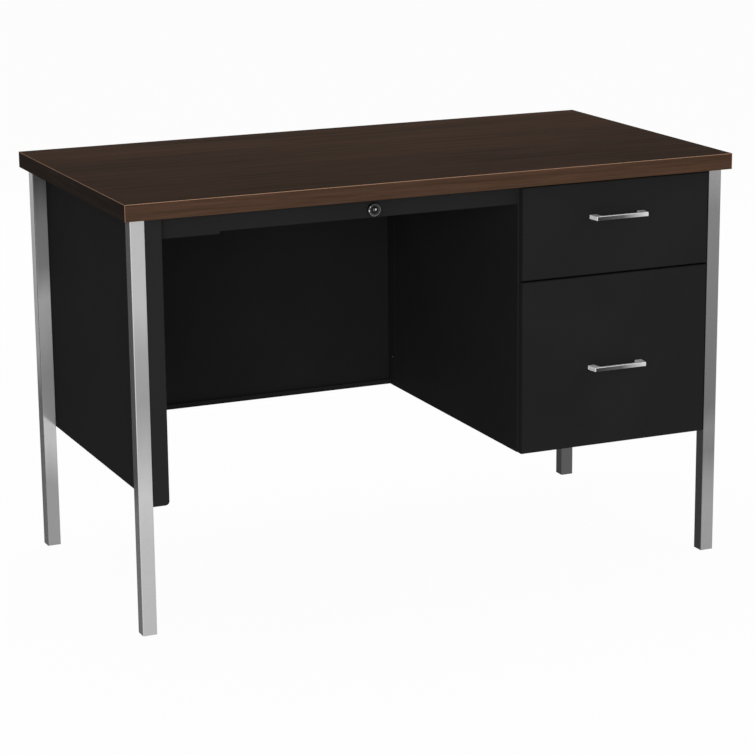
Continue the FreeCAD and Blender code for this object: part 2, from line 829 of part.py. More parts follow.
def drawer_tray(low, height):
    """Drawer body, spot-welded from a floor, two channel sides, a back and a front frame."""
    left = tray_left_x
    right = tray_right_x
    front = front_back_y
    rear = front + tray_length
    high = low + height
    seat = low + tray_sheet
    floor = box(left, right, front, rear, low, seat)
    back = box(left, right, rear - tray_sheet, rear, seat, high)
    frame = box(left, right, front, front + tray_sheet, seat, high)
    frame = frame.cut(box(left + tray_front_flange, right - tray_front_flange, front - 1,
                          front + tray_sheet + 1, low + tray_front_flange, high + 1))
    sides = []
    for wall, way in ((left, 1), (right, -1)):
        edge = wall + way * tray_hem
        path = [(edge, high - tray_hem_drop), (edge, high), (wall, high), (wall, seat), (edge, seat)]
        path = path if way > 0 else path[::-1]
        sides.append(folded("xz", path, tray_sheet, front + tray_sheet, rear - tray_sheet,
                            flat_bends=True))
    return [floor, back, frame] + sides


def hanging_rails():
    """Pair of rails along the file drawer that hanging folders hook on."""
    front = front_back_y + tray_sheet
    rear = front_back_y + tray_length - tray_sheet
    high = file_tray_bottom + file_tray_height - tray_hem_drop - hanging_rail_drop
    rails = []
    for way in (-1, 1):
        wall = tray_right_x - tray_sheet if way > 0 else tray_left_x + tray_sheet
        bar_x = wall - way * (hanging_rail_tab + hanging_rail_gap)
        path = [(bar_x + way * hanging_rail_tab, rear), (bar_x, rear), (bar_x, front),
                (bar_x + way * hanging_rail_tab, front)]
        path = path if way > 0 else path[::-1]
        rail = folded("xy", path, hanging_rail_thickness, high - hanging_rail_height, high,
                      flat_bends=True)
        rails.append(rail)
    return rails


def pull_feet():
    return (pedestal_centre_x - pull_centres / 2, pedestal_centre_x + pull_centres / 2)


def pull_tip(x, z):
    return V(x, front_plane - pull_screw_bite, z)


def pull_holes(z):
    return [clearance_hole(pull_tip(x, z), (0, 1, 0), pull_screw_diameter, pull_screw_bite + 5)
            for x in pull_feet()]


def drawer_pull(z):
    """Bracket pull: tapering feet and a flat bar."""
    cx = pedestal_centre_x
    base = pull_centres / 2 + pull_foot_width / 2
    tip = base - pull_outer_taper
    open_base = base - pull_foot_width
    open_tip = open_base - pull_inner_taper
    bar_front = front_plane - pull_projection
    bar_back = bar_front + pull_bar_thickness
    points = [(cx - base, front_plane), (cx - tip, bar_front), (cx + tip, bar_front),
              (cx + base, front_plane), (cx + open_base, front_plane), (cx + open_tip, bar_back),
              (cx - open_tip, bar_back), (cx - open_base, front_plane)]
    corner = pull_corner_radius
    radii = [0, corner, corner, 0, 0, corner, corner, 0]
    low = z - pull_height / 2
    high = z + pull_height / 2
    pull = prism("xy", points, radii, low, high)
    rims = [edge for edge in pull.Edges
            if (on_level(edge, 2, low) or on_level(edge, 2, high))
            and not on_level(edge, 1, front_plane)]
    pull = pull.makeChamfer(pull_edge_chamfer, rims)
    bores = [clearance_hole(pull_tip(x, z), (0, 1, 0), pull_screw_diameter, pull_screw_bite + 1)
             for x in pull_feet()]
    return drilled(pull, bores)


def pull_screws(z):
    length = pull_screw_bite + sheet
    return [screw(pull_tip(x, z), (0, 1, 0), pull_screw_diameter, length,
                  pull_screw_head, pull_screw_head_height) for x in pull_feet()]


def lock_hook(level):
    """Hook on the back of a drawer front: an arm through the post and a tooth turned down."""
    points = [(front_back_y, level), (hook_tooth_y, level), (hook_tooth_y, level - hook_tooth),
              (hook_tooth_y + 4.0, level - hook_tooth), (hook_tooth_y + 4.0, level + hook_arm),
              (front_back_y, level + hook_arm)]
    radii = [0, 0.6, 0.6, 1.5, 2.0, 0]
    half = hook_thickness / 2
    plate = prism("yz", points, radii, catch_centre_x - half, catch_centre_x + half)
    foot = box(catch_centre_x - half, catch_centre_x + half + 8.0, front_back_y,
               front_back_y + 1.6, level - 4.0, level + hook_arm + 4.0)
    return plate.fuse(foot).removeSplitter()


def bumpers(high):
    """Rubber buttons behind a front's upper corners, which meet the posts."""
    level = high - bumper_drop
    return [rod(V(x, front_back_y, level), V(0, 1, 0), bumper_diameter, case_gap)
            for x in (case_left_x + post_width / 2, case_right_x - post_width / 2)]


# ---------------------------------------------------------------- lock
def lock_housing():
    """Bezel and barrel in one, bored for the plug."""
    bezel_front = rail_front_y - bezel_projection
    along_y = V(0, 1, 0)
    bezel = rod(V(lock_x, bezel_front, lock_z), along_y, bezel_diameter, bezel_projection)
    bezel = bezel.makeChamfer(lead_in, [edge for edge in bezel.Edges
                                        if on_level(edge, 1, bezel_front)])
    ring = plug_diameter + 2 * plug_clearance + 2 * dust_ring_width
    bezel = bezel.cut(rod(V(lock_x, bezel_front - 1, lock_z), along_y, ring,
                          1 + bezel_projection - bezel_rim))
    barrel = rod(V(lock_x, rail_front_y, lock_z), along_y, housing_diameter,
                 housing_rear_y - rail_front_y)
    bore = rod(V(lock_x, bezel_front - 1, lock_z), along_y,
               plug_diameter + 2 * plug_clearance, housing_length * 3)
    return bezel.fuse(barrel).cut(bore).removeSplitter()


def lock_dust_ring():
    bezel_front = rail_front_y - bezel_projection
    inner = plug_diameter + 2 * plug_clearance
    face = bezel_front + plug_recess
    depth = bezel_projection - bezel_rim - plug_recess
    ring = rod(V(lock_x, face, lock_z), V(0, 1, 0), inner + 2 * dust_ring_width, depth)
    return ring.cut(rod(V(lock_x, face - 1, lock_z), V(0, 1, 0), inner, depth + 2))


def lock_nut():
    flat = nut_across_flats / 2
    reach = flat / math.cos(math.radians(30))
    points = [(lock_x + reach * math.cos(math.radians(60 * turn)),
               lock_z + reach * math.sin(math.radians(60 * turn))) for turn in range(6)]
    seat = rail_front_y + heavy_sheet
    nut = prism("xz", points, [0] * 6, seat, seat + nut_thickness)
    return nut.cut(rod(V(lock_x, seat - 1, lock_z), V(0, 1, 0),
                       housing_diameter + 2 * screw_clearance, nut_thickness + 2))


def lock_plug():
    """Key plug with an upright keyway, and a tail that carries the cam."""
    front = rail_front_y - bezel_projection + plug_recess * 0.5
    plug = rod(V(lock_x, front, lock_z), V(0, 1, 0), plug_diameter, cam_front_y - front)
    tail_side = plug_diameter * 0.5
    tail = box(lock_x - tail_side / 2, lock_x + tail_side / 2, cam_front_y, cam_rear_y,
               lock_z - tail_side / 2, lock_z + tail_side / 2)
    keyway = box(lock_x - keyway_width / 2, lock_x + keyway_width / 2, front - 1,
                 front + keyway_depth, lock_z - keyway_height / 2, lock_z + keyway_height / 2)
    return plug.fuse(tail).cut(keyway).removeSplitter()


def lock_cam():
    """Crank plate on the plug's tail, with the pin that drives the link bar."""
    hub = rod(V(lock_x, cam_front_y, lock_z), V(0, 1, 0), plug_diameter, cam_thickness)
    eye = rod(V(crank_rest_x, cam_front_y, crank_rest_z), V(0, 1, 0),
              crank_pin_diameter + 3.0, cam_thickness)
    pin = rod(V(crank_rest_x, cam_front_y, crank_rest_z), V(0, 1, 0), crank_pin_diameter,
              link_rear_y + 1.0 - cam_front_y)
    tail_side = plug_diameter * 0.5
    square = box(lock_x - tail_side / 2, lock_x + tail_side / 2, cam_front_y - 1, cam_rear_y + 1,
                 lock_z - tail_side / 2, lock_z + tail_side / 2)
    return hub.fuse(eye).fuse(pin).cut(square).removeSplitter()


def slot_through(y0, y1, start, finish, width):
    """Straight slot with round ends, between two places of the xz plane."""
    (x0, z0), (x1, z1) = start, finish
    size = math.hypot(x1 - x0, z1 - z0)
    side_x = -(z1 - z0) / size * width / 2
    side_z = (x1 - x0) / size * width / 2
    points = [(x0 + side_x, z0 + side_z), (x0 - side_x, z0 - side_z),
              (x1 - side_x, z1 - side_z), (x1 + side_x, z1 + side_z)]
    middle = prism("xz", points, [0] * 4, y0, y1)
    for x, z in (start, finish):
        middle = middle.fuse(rod(V(x, y0, z), V(0, 1, 0), width, y1 - y0))
    return middle


def link_bar():
    """Flat bar from the crank to the post. Its slanted slot lifts the catch bar."""
    eye_right = crank_rest_x + crank_pin_diameter + 6.0
    eye_left = crank_rest_x - crank_pin_diameter - 4.0
    ramp_right = catch_centre_x + lift_pin_diameter + 0.5
    ramp_left = catch_centre_x - link_travel - lift_pin_diameter - 6.0
    half = link_height / 2
    tall = link_end_height / 2
    points = [(eye_left, lock_z - half), (ramp_left, lock_z - half), (ramp_left + 4, lock_z - tall),
              (ramp_right, lock_z - tall), (ramp_right, lock_z + tall),
              (ramp_left + 4, lock_z + tall), (ramp_left, lock_z + half),
              (eye_right + 4, lock_z + half), (eye_right, lock_z + tall + 1.0),
              (eye_left, lock_z + tall + 1.0)]
    bar = prism("xz", points, [0, 0, 2, 2, 2, 2, 0, 0, 2, 2], link_front_y, link_rear_y)
    width = crank_pin_diameter + 2 * pin_clearance
    eye = slot_through(link_front_y - 1, link_rear_y + 1, (crank_rest_x, crank_rest_z),
                       (crank_rest_x, lock_z + crank_radius), width)
    ramp = slot_through(link_front_y - 1, link_rear_y + 1, (catch_centre_x, lift_pin_z),
                        (catch_centre_x - link_travel, lift_pin_z + catch_lift),
                        lift_pin_diameter + 2 * pin_clearance)
    return bar.cut(eye).cut(ramp)


catch_low = file_hook_z - catch_tail
catch_high = lock_z + link_end_height / 2
rivet_heights = (catch_low + 22.0, (box_hook_z + file_hook_z) / 2, catch_high - 32.0)


def catch_bar():
    """Strip in the post with a window at each hook, raised by a pin in the link bar's slot."""
    half = catch_width / 2
    strip = box(catch_centre_x - half, catch_centre_x + half, catch_front_y, catch_rear_y,
                catch_low, catch_high)
    wide = hook_thickness / 2 + hook_slot_clearance
    for level in hook_drops:
        strip = strip.cut(box(catch_centre_x - wide, catch_centre_x + wide, catch_front_y - 1,
                              catch_rear_y + 1, level - hook_tooth - 1.0, level + hook_arm + 1.0))
    for level in rivet_heights:
        slot = slot_through(catch_front_y - 1, catch_rear_y + 1, (catch_centre_x, level),
                            (catch_centre_x, level - catch_lift),
                            guide_rivet_diameter + 2 * guide_clearance)
        strip = strip.cut(slot)
    pin = rod(V(catch_centre_x, catch_front_y, lift_pin_z), V(0, 1, 0), lift_pin_diameter,
              link_rear_y + 1.0 - catch_front_y)
    return strip.fuse(pin).removeSplitter()


def lock_guides():
    """Shoulder rivets that hold the catch bar, and plates that the link bar passes through."""
    pieces = []
    seat = case_front_y + heavy_sheet
    for level in rivet_heights:
        shank_length = catch_rear_y + guide_clearance - seat
        shank = rod(V(catch_centre_x, seat, level), V(0, 1, 0), guide_rivet_diameter, shank_length)
        head = six_sided(V(catch_centre_x, seat + shank_length, level), (0, 1, 0),
                         guide_rivet_head, guide_rivet_head_thickness)
        pieces.append(shank.fuse(head).removeSplitter())
    low = lock_z - link_height / 2 - link_guide_margin
    high = top_underside - heavy_sheet
    half = link_height / 2 + guide_clearance
    for centre in (lock_x + link_guide_inset, case_left_x - link_guide_inset):
        left = centre - link_guide_thickness / 2
        right = centre + link_guide_thickness / 2
        plate = box(left, right, link_front_y - link_guide_margin,
                    link_rear_y + link_guide_margin, low, high)
        foot = box(left, right + 9.0, link_front_y - link_guide_margin,
                   link_rear_y + link_guide_margin, high - 1.5, high)
        window = box(left - 1, right + 1, link_front_y - guide_clearance,
                     link_rear_y + guide_clearance, lock_z - half, lock_z + half)
        pieces.append(plate.fuse(foot).cut(window).removeSplitter())
    return pieces


# ---------------------------------------------------------------- frame screws
def frame_screws():
    head = (frame_screw_head, frame_screw_head_height)
    pieces = []
    for side, end in leg_corners.values():
        wall = heavy_sheet if (side, end) == (1, -1) else sheet
        for height in leg_screw_heights:
            tip, way = leg_screw(side, end, height)
            length = tip.x * side - leg_inner_x + wall
            pieces.append(screw(tip, way, frame_screw_diameter, length, *head))
    for x, y, z in gusset_screws:
        length = panel_inner_x + heavy_sheet - x
        pieces.append(screw(V(x, y, z), (1, 0, 0), frame_screw_diameter, length, *head))
    for z in modesty_screw_heights:
        for tip_x, way, seat in ((panel_inner_x - 6, 1, panel_inner_x + sheet),
                                 (case_left_x + 6, -1, case_left_x - sheet)):
            pieces.append(screw(V(tip_x, modesty_side_y, z), (way, 0, 0), frame_screw_diameter,
                                abs(seat - tip_x), *head))
    tip_x = case_left_x + 5
    pieces.append(screw(V(tip_x, post_tab_y, post_tab_z), (-1, 0, 0), frame_screw_diameter,
                        tip_x - case_left_x + heavy_sheet, *head))
    return pieces


# ---------------------------------------------------------------- nodes
nodes = {
    "worktop_core": [worktop_core()],
    "worktop_backer": [worktop_backer()],
    "worktop_laminate": [worktop_laminate()],
    "edge_bands_long": long_bands(),
    "edge_bands_short": short_bands(),
    "worktop_screws": [worktop_screw(*place) for place in top_screw_places],
    "leg_inserts": [leg_insert(*corner) for corner in leg_corners.values()],
    "end_panel_outer": [end_panel_outer()],
    "end_panel_inner": [end_panel_inner()],
    "end_panel_stiffeners": end_panel_stiffeners(),
    "kneespace_rail": [kneespace_rail()],
    "rail_gusset": [rail_gusset()],
    "modesty_panel": [modesty_panel()],
    "pedestal_post_left": [post_left()],
    "pedestal_post_right": [post_right()],
    "pedestal_side_left": [case_side(case_left_x, 1)],
    "pedestal_side_right": [case_side(case_right_x, -1)],
    "pedestal_back": [pedestal_back()],
    "pedestal_bottom": [pedestal_bottom_pan()],
    "pedestal_uprights": rear_uprights(),
    "pedestal_top_rail": [top_rail()],
    "pedestal_mid_rail": [mid_rail()],
    "frame_screws": frame_screws(),
    "lock_housing": [lock_housing()],
    "lock_dust_ring": [lock_dust_ring()],
    "lock_nut": [lock_nut()],
    "lock_guides": lock_guides(),
    "lock_plug": [lock_plug()],
    "lock_cam": [lock_cam()],
    "lock_link_bar": [link_bar()],
    "lock_catch_bar": [catch_bar()],
    "file_hanging_rails": hanging_rails(),
}
for name, corner in leg_corners.items():
    nodes["leg_" + name] = [leg(*corner)]
    nodes["glide_" + name] = [glide(*corner)]

drawers = {
    "box": (box_front_bottom, box_front_top, box_tray_bottom, box_tray_height, box_pull_drop,
            box_hook_z, box_slide_length, box_slide_z),
    "file": (file_front_bottom, file_front_top, file_tray_bottom, file_tray_height,
             file_pull_drop, file_hook_z, file_slide_length, file_slide_z),
}
for name, sizes in drawers.items():
    low, high, tray_low, tray_height, pull_drop, hook_z, slide_length, slide_z = sizes
    pull_z = high - pull_drop
    nodes[name + "_drawer_front"] = [drawer_front(low, high, pull_z)]
    nodes[name + "_drawer_liner"] = [drawer_liner(low, high, pull_z)]
    nodes[name + "_drawer_tray"] = drawer_tray(tray_low, tray_height)
    nodes[name + "_pull"] = [drawer_pull(pull_z)]
    nodes[name + "_pull_screws"] = pull_screws(pull_z)
    nodes[name + "_lock_hook"] = [lock_hook(hook_z)]
    nodes[name + "_bumpers"] = bumpers(high)
    nodes[name + "_cabinet_slides"] = slide_pair("cabinet", slide_length, slide_z)
    nodes[name + "_middle_slides"] = slide_pair("middle", slide_length, slide_z)
    nodes[name + "_drawer_slides"] = slide_pair("drawer", slide_length, slide_z)

os.makedirs("parts", exist_ok=True)
for name, solids in nodes.items():
    shape = solids[0] if len(solids) == 1 else Part.makeCompound(solids)
    shape.exportStep("parts/" + name + ".step")
print(len(nodes), "nodes")
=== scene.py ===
"""Single-pedestal teacher desk: finishes, studio light and camera around the fixed frame."""
import json
import math

import bpy
from mathutils import Matrix, Vector


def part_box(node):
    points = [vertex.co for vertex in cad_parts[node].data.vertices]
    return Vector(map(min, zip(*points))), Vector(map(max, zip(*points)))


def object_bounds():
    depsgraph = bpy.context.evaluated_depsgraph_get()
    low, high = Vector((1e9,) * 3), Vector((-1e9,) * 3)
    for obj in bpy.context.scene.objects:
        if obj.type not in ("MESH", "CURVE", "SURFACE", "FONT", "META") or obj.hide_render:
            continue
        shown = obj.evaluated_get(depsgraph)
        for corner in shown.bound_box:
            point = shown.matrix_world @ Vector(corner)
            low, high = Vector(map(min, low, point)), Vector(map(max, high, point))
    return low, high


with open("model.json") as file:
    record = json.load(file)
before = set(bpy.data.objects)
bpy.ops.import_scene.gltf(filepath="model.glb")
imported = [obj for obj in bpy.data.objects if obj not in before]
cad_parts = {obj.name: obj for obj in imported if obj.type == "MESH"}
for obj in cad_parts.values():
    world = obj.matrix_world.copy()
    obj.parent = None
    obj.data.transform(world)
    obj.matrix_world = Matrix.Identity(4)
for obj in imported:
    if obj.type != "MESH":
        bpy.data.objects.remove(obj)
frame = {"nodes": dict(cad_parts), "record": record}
cad_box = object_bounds()
nodes = frame["nodes"]

WHITE = (1.0, 1.0, 1.0)
FACE_SHARE = 0.7  # least share of a normal along an axis at which a face counts as turned to it


# ---------------------------------------------------------------- shader formulas
class Value:
    """A socket of a node tree, written in formulas as if it were a number."""

    def __init__(self, tree, socket):
        self.tree = tree
        self.socket = socket

    def maths(self, operation, *others):
        return self.tree.node("ShaderNodeMath", {"operation": operation}, self, *others)

    def __add__(self, other):
        return self.maths("ADD", other)

    __radd__ = __add__

    def __mul__(self, other):
        return self.maths("MULTIPLY", other)

    __rmul__ = __mul__

    def __sub__(self, other):
        return self.maths("SUBTRACT", other)

    def __rsub__(self, other):
        return self.tree.node("ShaderNodeMath", {"operation": "SUBTRACT"}, other, self)

    def __truediv__(self, other):
        return self.maths("DIVIDE", other)

    def __gt__(self, other):
        return self.maths("GREATER_THAN", other)

    def __lt__(self, other):
        return self.maths("LESS_THAN", other)

    def __abs__(self):
        return self.maths("ABSOLUTE")

    def __pow__(self, other):
        return self.maths("POWER", other)

    def clamp(self):
        return self.tree.node("ShaderNodeClamp", {}, self)

    def out(self, name):
        """Another output of the node that this value comes from."""
        return Value(self.tree, self.socket.node.outputs[name])


def feed(tree, socket, value):
    """Links a value to a socket, or sets what the socket holds."""
    if isinstance(value, Value):
        tree.links.new(value.socket, socket)
    else:
        socket.default_value = (*value, 1.0) if socket.type == "RGBA" else value


class Shader:
    """Node tree of a material or of the world."""

    def __init__(self, tree):
        self.tree = tree
        tree.nodes.clear()

    def node(self, kind, settings=None, *inputs, **named):
        """A node, its settings, and the values or links of its sockets by order or by name."""
        made = self.tree.nodes.new(kind)
        for key, value in (settings or {}).items():
            if key == "stops":
                while len(made.color_ramp.elements) < len(value):
                    made.color_ramp.elements.new(0.5)
                for element, (place, colour) in zip(made.color_ramp.elements, value):
                    element.position = place
                    element.color = (*colour, 1.0)
            else:
                setattr(made, key, value)
        pairs = list(zip([s for s in made.inputs if s.enabled], inputs))
        pairs += [(made.inputs[key.replace("_", " ")], value) for key, value in named.items()]
        for socket, value in pairs:
            feed(self.tree, socket, value)
        shown = [s for s in made.outputs if s.enabled]
        return Value(self, shown[0]) if shown else None

    def place(self):
        """Object coordinates, in metres in the desk's own frame."""
        return self.node("ShaderNodeTexCoord").out("Object")

    def stretched(self, scale, shift=(0.0, 0.0, 0.0)):
        return self.node("ShaderNodeMapping", {}, self.place(), shift, (0.0, 0.0, 0.0), scale)

    def noise(self, scale, detail=3.0, roughness=0.5, shift=(0.0, 0.0, 0.0)):
        """Noise with its own scale along each axis, from 0 to 1."""
        return self.node("ShaderNodeTexNoise", {"noise_dimensions": "3D"},
                         self.stretched(scale, shift),
                         Scale=1.0, Detail=detail, Roughness=roughness)

    def facing(self, axis):
        """The surface normal's share along an axis of the desk, from -1 to 1."""
        normal = self.node("ShaderNodeNewGeometry").out("Normal")
        return self.node("ShaderNodeSeparateXYZ", {}, normal).out(axis)

    def turned(self, axis, way, share=FACE_SHARE):
        """1 on faces turned to an axis, way being 1 or -1 for its two ends, and 0 elsewhere."""
        return self.facing(axis) * way > share

    def along(self, axis):
        """The place along an axis of the desk, in metres."""
        return self.node("ShaderNodeSeparateXYZ", {}, self.place()).out(axis)

    def ramp(self, value, *stops):
        return self.node("ShaderNodeValToRGB", {"stops": stops}, value)

    def grey_ramp(self, value, *stops):
        """A ramp whose stops are places and screen greys."""
        return self.ramp(value, *((place, tone(grey)) for place, grey in stops))

    def mix(self, share, first, second):
        return self.node("ShaderNodeMix", {"data_type": "RGBA"}, share, first, second)

    def bump(self, height, distance):
        return self.node("ShaderNodeBump", {}, Strength=1.0, Distance=distance, Height=height)


def tone(grey, warm=0.0):
    """Linear colour of a screen grey from 0 to 255, with a little warmth."""
    level = grey / 255
    linear = ((level + 0.055) / 1.055) ** 2.4 if level > 0.04045 else level / 12.92
    return linear * (1 + warm), linear, linear * (1 - warm)


def screen(red, green, blue):
    """Linear colour of a screen colour from 0 to 255."""
    return tone(red)[0], tone(green)[0], tone(blue)[0]


finishes = {}


def finish(name):
    """Registers a function that fills the named material's tree."""
    def register(build):
        material = bpy.data.materials.new(name)
        material.use_nodes = True
        shader = Shader(material.node_tree)
        shader.node("ShaderNodeOutputMaterial", {}, Surface=build(shader))
        finishes[name] = material
        return build
    return register


def principled(shader, **values):
    return shader.node("ShaderNodeBsdfPrincipled", {}, **values)


# ---------------------------------------------------------------- laminate
# dark, middle and light tones of the printed grain; the long edge's are painted lighter and the
# short edge's darker, as painted light and shade
TOP_TONES = screen(39, 31, 26), screen(58, 44, 35), screen(76, 56, 43)
LIT_LONG_EDGE_TONES = screen(61, 45, 35), screen(74, 55, 43), screen(86, 63, 49)
SHADED_SHORT_EDGE_TONES = screen(34, 28, 25), screen(42, 35, 31), screen(54, 44, 37)
KRAFT_AND_ARRIS_HIGHLIGHT = screen(168, 130, 106)  # the sheet's brown core, bare at its cut edges, lightened as a painted highlight on the arris
LAMINATE_GLOSS = 0.0005
GRAIN_RELIEF = 0.00004
FRONT_PAINTED_SHADE = 0.62  # painted shade: share of the dark tone gained per metre towards the sitter, as the top's light falls off there
# width at each end of the long edge band that takes half the kraft colour, with its painted
# highlight
KRAFT_CORNER_WIDTH = 0.0008


def wood_grain(shader, tones, way):
    """Fine straight grain along X or Y: broad tone, cathedral streaks and short pores."""
    dark, mid, light = tones

    def stretch(along, across):
        return (along, across, across) if way == "X" else (across, along, across)

    broad = shader.noise(stretch(0.9, 5.0), 2.0)
    drift = shader.noise(stretch(1.4, 3.0), 2.0, shift=(3.1, 1.7, 0.4))
    streaks = shader.noise(stretch(2.6, 95.0), 4.0, 0.62)
    fibres = shader.noise(stretch(9.0, 420.0), 3.0, 0.6, shift=(0.3, 0.1, 0.7))
    pores = shader.noise(stretch(26.0, 900.0), 2.0, 0.5, shift=(1.3, 2.1, 0.2))
    figure = streaks * 0.5 + broad * 0.3 + drift * 0.2
    colour = shader.ramp(figure, (0.33, dark), (0.5, mid), (0.68, light))
    lines = shader.ramp(fibres, (0.30, (0.72, 0.70, 0.68)), (0.55, WHITE))
    colour = shader.node("ShaderNodeVectorMath", {"operation": "MULTIPLY"}, colour, lines)
    pits = (pores < 0.36) * (streaks > 0.47)
    colour = shader.mix(pits * 0.45, colour, dark)
    return colour, fibres, pits


@finish("worktop_laminate")
def worktop_laminate(shader):
    colour, fibres, pits = wood_grain(shader, TOP_TONES, "X")
    # painted shade: the top darkens towards its front edge
    painted_front_shade = (cad_box[1].y - shader.along("Y")) * FRONT_PAINTED_SHADE
    colour = shader.mix(painted_front_shade, colour, TOP_TONES[0])
    upright = abs(shader.facing("Z")) < 0.97
    # upright cut edges of the top sheet show the kraft core, lightened as a painted arris
    # highlight
    colour = shader.mix(upright, colour, KRAFT_AND_ARRIS_HIGHLIGHT)
    rough = shader.noise((3.0, 60.0, 60.0), 2.0) * 0.08 + 0.40
    relief = shader.bump(fibres * 0.5 - pits, GRAIN_RELIEF)
    return principled(shader, Base_Color=colour, Roughness=rough, Normal=relief,
                      Specular_IOR_Level=LAMINATE_GLOSS)


@finish("long_edge_laminate")
def long_edge_laminate(shader):
    colour, fibres, pits = wood_grain(shader, LIT_LONG_EDGE_TONES, "X")
    # the band's end faces and its last bit at each end show the kraft core, lightened as a painted
    # highlight
    end = abs(shader.facing("X")) > 0.5
    colour = shader.mix(end, colour, KRAFT_AND_ARRIS_HIGHLIGHT)
    corner = abs(shader.along("X")) > cad_box[1].x - KRAFT_CORNER_WIDTH
    colour = shader.mix(corner * 0.5, colour, KRAFT_AND_ARRIS_HIGHLIGHT)
    relief = shader.bump(fibres * 0.5 - pits, GRAIN_RELIEF)
    return principled(shader, Base_Color=colour, Roughness=0.42, Normal=relief,
                      Specular_IOR_Level=LAMINATE_GLOSS)


@finish("short_edge_laminate")
def short_edge_laminate(shader):
    colour, fibres, pits = wood_grain(shader, SHADED_SHORT_EDGE_TONES, "Y")
    relief = shader.bump(fibres * 0.5 - pits, GRAIN_RELIEF)
    return principled(shader, Base_Color=colour, Roughness=0.42, Normal=relief,
                      Specular_IOR_Level=LAMINATE_GLOSS)


@finish("particle_board")
def particle_board(shader):
    chips = shader.node("ShaderNodeTexVoronoi", {"feature": "F1"},
                        shader.stretched((380.0, 520.0, 900.0)))
    colour = shader.ramp(chips, (0.0, (0.28, 0.19, 0.11)), (0.5, (0.46, 0.34, 0.21)),
                         (1.0, (0.58, 0.46, 0.31)))
    return principled(shader, Base_Color=colour, Roughness=0.9, Normal=shader.bump(chips, 0.0002))


@finish("backer_paper")
def backer_paper(shader):
    fleck = shader.noise((240.0, 240.0, 240.0), 4.0)
    colour = shader.ramp(fleck, (0.3, screen(70, 58, 48)), (0.7, screen(98, 84, 70)))
    return principled(shader, Base_Color=colour, Roughness=0.8)


# ---------------------------------------------------------------- black powder coat
FRONT_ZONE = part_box("end_panel_inner")[0].y + 0.05  # how far back a panel's front flange lies; faces turned to the sitter ahead of it get painted light
PAINT_GLOSS = 0.001
PAINT_RELIEF = 0.00003


def powder_coat(shader, grey, rough=0.45, painted_light_front_grey=None):
    """Satin black paint with a faint orange peel; painted_light_front_grey is a lighter grey
    painted on a front flange as painted light.
    """
    cloud = shader.noise((5.0, 5.0, 5.0), 2.0)
    peel = shader.noise((900.0, 900.0, 900.0), 2.0)
    speck = shader.noise((2600.0, 2600.0, 2600.0), 1.0)
    base = tone(grey)
    low = tuple(part * 0.94 for part in base)
    high = tuple(part * 1.06 for part in base)
    colour = shader.ramp(cloud, (0.35, low), (0.65, high))
    if painted_light_front_grey:
        # painted light: faces turned to the sitter at the front take a lighter grey, as they catch
        # more light
        front = shader.turned("Y", -1) * (shader.along("Y") < FRONT_ZONE)
        colour = shader.mix(front, colour, tone(painted_light_front_grey))
    roughness = cloud * 0.06 + (rough - 0.03)
    relief = shader.bump(peel * 0.7 + speck * 0.3, PAINT_RELIEF)
    return principled(shader, Base_Color=colour, Roughness=roughness, Normal=relief,
                      Specular_IOR_Level=PAINT_GLOSS)


@finish("black_panel")
def black_panel(shader):
    return powder_coat(shader, 32, painted_light_front_grey=38)


@finish("black_rail")
def black_rail(shader):
    return powder_coat(shader, 35)


@finish("black_front")
def black_front(shader):
    return powder_coat(shader, 34)


@finish("black_inside")
def black_inside(shader):
    return powder_coat(shader, 33, 0.5)


@finish("primer")
def primer(shader):
    return powder_coat(shader, 40, 0.6)


# ---------------------------------------------------------------- metals
LEG_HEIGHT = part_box("leg_front_left")[1].z
# painted reflections: screen greys up a leg, by share of its height: on its front, and on its left
# side
LEG_FRONT_PAINTED_REFLECTION = ((0.0, 186), (0.22, 188), (0.34, 196), (0.46, 172), (0.57, 153), (0.69, 161),
             (0.8, 184), (1.0, 184))
RIGHT_LEG_FRONT_PAINTED_REFLECTION = ((0.0, 157), (0.12, 158), (0.2, 148), (0.27, 126), (0.33, 134), (0.39, 115),
                   (0.62, 121), (0.9, 129), (1.0, 153))
REAR_LEFT_LEG_FRONT_PAINTED_REFLECTION = ((0.0, 155), (0.17, 156), (0.28, 196), (0.36, 204), (0.46, 200),
                       (0.56, 222), (0.66, 240), (0.75, 180), (0.87, 168), (0.98, 108))
LEG_SIDE_PAINTED_REFLECTION = (0.0, 176), (0.3, 170), (0.38, 142), (1.0, 146)
REAR_LEG_SIDE_PAINTED_REFLECTION = (0.0, 180), (0.4, 172), (0.52, 228), (1.0, 248)
# painted reflections in even greys: right legs' left sides, the rear right leg's front, and the
# left legs' arrises
RIGHT_SIDES_PAINTED_REFLECTION = {"front": tone(80), "rear": tone(92)}
REAR_RIGHT_FRONT_PAINTED_REFLECTION = tone(94)
ARRIS_PAINTED_REFLECTIONS = {"front": tone(200), "rear": tone(96)}
GRAZING_TINT = tone(40)  # dulls the chrome where it is seen nearly edge on


